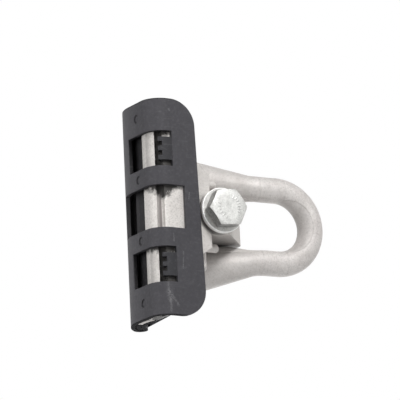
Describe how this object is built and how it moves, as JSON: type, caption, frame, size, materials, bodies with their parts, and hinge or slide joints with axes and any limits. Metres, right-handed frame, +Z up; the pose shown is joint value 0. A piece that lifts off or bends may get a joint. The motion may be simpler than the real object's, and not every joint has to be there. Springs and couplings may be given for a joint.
{
  "type": "suspension clamp",
  "caption": "Bolted two-jaw suspension clamp with a U-shaped hanging loop and clip-in plastic liners round a cable channel.",
  "frame": {"origin": "on the clamped cable's axis, half way along the clamp", "axes": "+X along the cable, +Y along the clamping bolt from its head to its nut, +Z up towards the hanging loop"},
  "size_m": [0.116, 0.0775, 0.1125],
  "materials": {
    "cast_aluminium": "blasted casting",
    "dark_plastic": "fine moulded texture",
    "zinc_steel": "zinc coated"
  },
  "bodies": {
    "body": {"bail_body": "cast_aluminium", "rear_liner": "dark_plastic", "hex_nut": "zinc_steel"},
    "front": {"front_jaw": "cast_aluminium", "front_liner": "dark_plastic", "flat_washer": "zinc_steel"},
    "bolt": {"clamp_bolt": "zinc_steel"}
  },
  "joints": [
    {"name": "jaw_slide", "type": "slide", "parent": "body", "child": "front", "axis": [0, -1, 0], "range_m": [0, 0.0175]},
    {"name": "bolt_turn", "type": "hinge", "parent": "front", "child": "bolt", "pos_m": [0, 0, 0.021], "axis": [0, -1, 0], "range_deg": [0, 3600]}
  ],
  "couplings": [
    {"joint": "bolt_turn", "follows": "jaw_slide", "rad_per_m": 3590.4}
  ]
}
